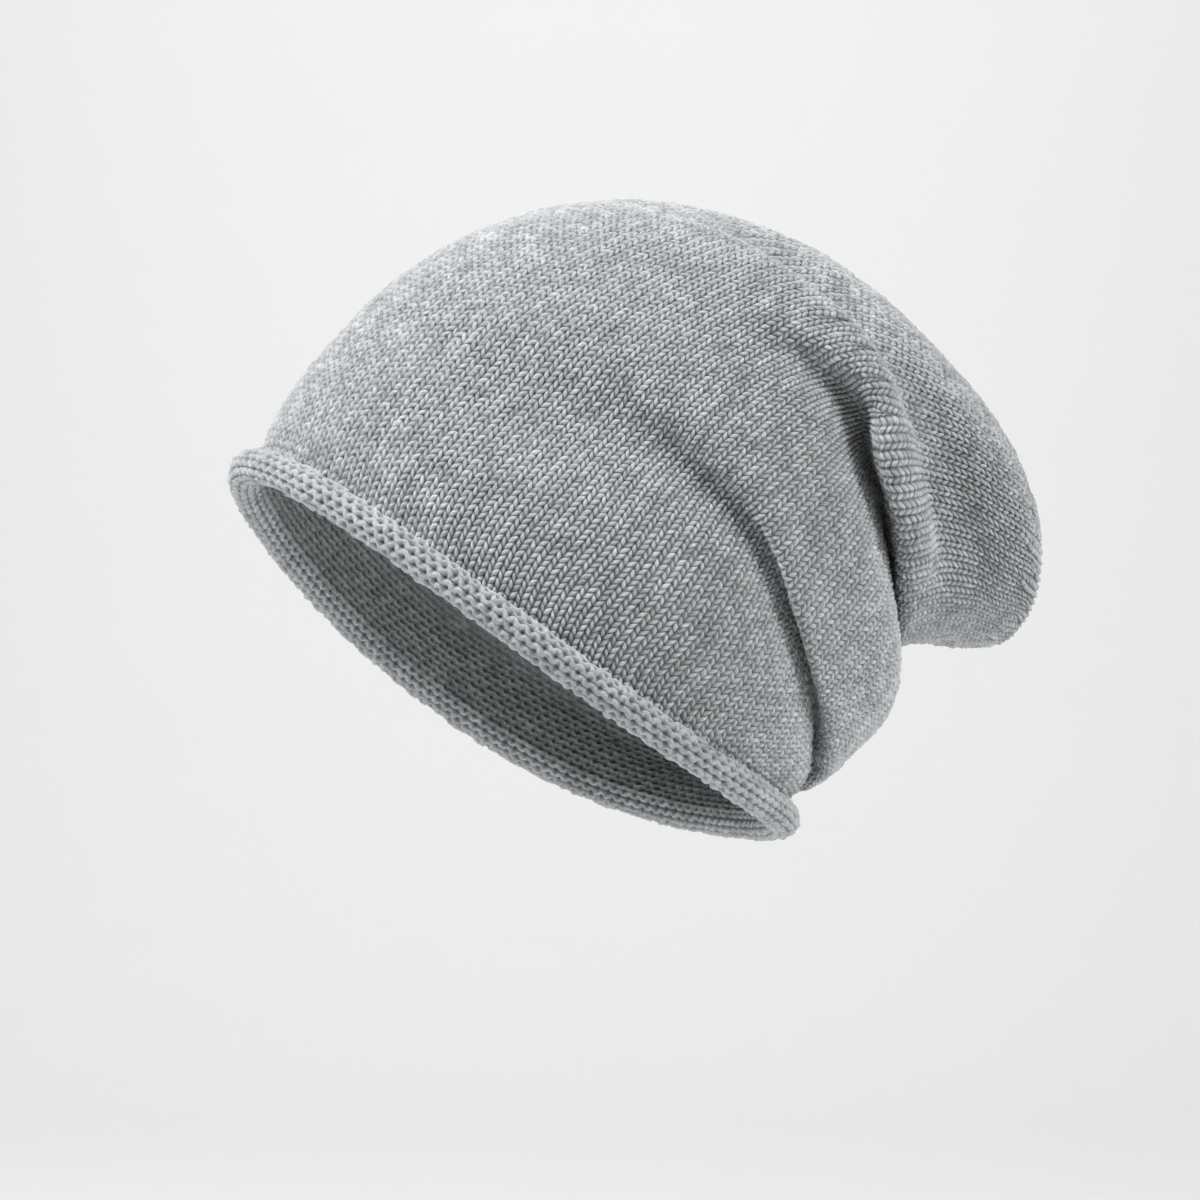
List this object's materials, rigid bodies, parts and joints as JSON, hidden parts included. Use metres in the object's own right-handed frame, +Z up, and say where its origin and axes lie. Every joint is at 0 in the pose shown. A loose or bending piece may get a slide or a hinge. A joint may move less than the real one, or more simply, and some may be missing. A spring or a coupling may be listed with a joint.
{
  "type": "slouchy beanie",
  "caption": "Slouchy knitted beanie with a rolled brim, in its worn form: a round crown whose long end sinks into folds and hangs behind the head.",
  "frame": {"origin": "middle of the head opening, in the sloping plane of its edge", "axes": "+Z up and -Y to the wearer's front when the hat is worn, +X to the wearer's left; the opening's front edge is the higher one"},
  "size_m": [0.1772, 0.2623, 0.2082],
  "materials": {
    "body_knit": "matte heathered stockinette knit",
    "brim_knit": "matte heathered reverse stockinette knit"
  },
  "bodies": {
    "root": {"crown": "body_knit", "rolled_brim": "brim_knit"}
  },
  "joints": []
}
